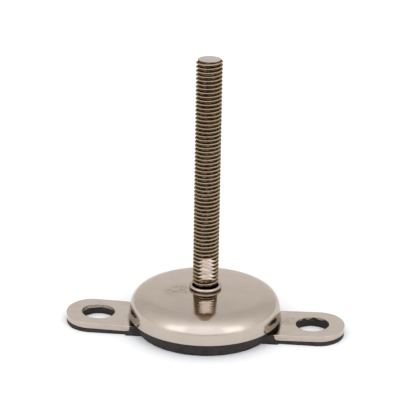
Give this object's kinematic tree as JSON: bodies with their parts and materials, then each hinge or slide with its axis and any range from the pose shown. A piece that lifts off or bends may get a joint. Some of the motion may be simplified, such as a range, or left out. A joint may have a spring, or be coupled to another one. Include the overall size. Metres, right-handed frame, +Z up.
{
  "type": "furniture leveling foot",
  "caption": "Swivel levelling foot: a threaded ball stud leans and turns in a domed steel base with two bolt-down lugs on a rubber pad.",
  "frame": {"origin": "middle of the rubber pad's underside, on the floor", "axes": "+Z up the stud, X along the two lugs, Y across them"},
  "size_m": [0.1384, 0.075, 0.138],
  "materials": {
    "polished_stainless": "polished, warm grey, fine scuffs",
    "threaded_stainless": "rolled thread, satin, a little brown",
    "turned_steel": "turned, bright",
    "weld_steel": "as welded, dull",
    "white_acetal": "smooth moulded",
    "black_nitrile": "smooth moulded",
    "grey_black_rubber": "moulded, matte"
  },
  "bodies": {
    "base": {"rubber_pad": "grey_black_rubber", "lug_plate": "polished_stainless", "housing_weld": "weld_steel", "socket_housing": "turned_steel", "dome_shell": "polished_stainless"},
    "seat": {"ball_seat": "white_acetal"},
    "seal": {"neck_seal": "black_nitrile"},
    "stud": {"ball_stud": "threaded_stainless"}
  },
  "joints": [
    {"name": "lean_direction", "type": "hinge", "parent": "base", "child": "seat", "pos_m": [0, 0, 0.0126], "axis": [0, 0, 1], "continuous": true},
    {"name": "stud_lean", "type": "hinge", "parent": "seat", "child": "seal", "pos_m": [0, 0, 0.0126], "axis": [0, 1, 0], "range_deg": [-6, 6]},
    {"name": "stud_spin", "type": "hinge", "parent": "seal", "child": "stud", "pos_m": [0, 0, 0.0126], "axis": [0, 0, 1], "continuous": true}
  ]
}
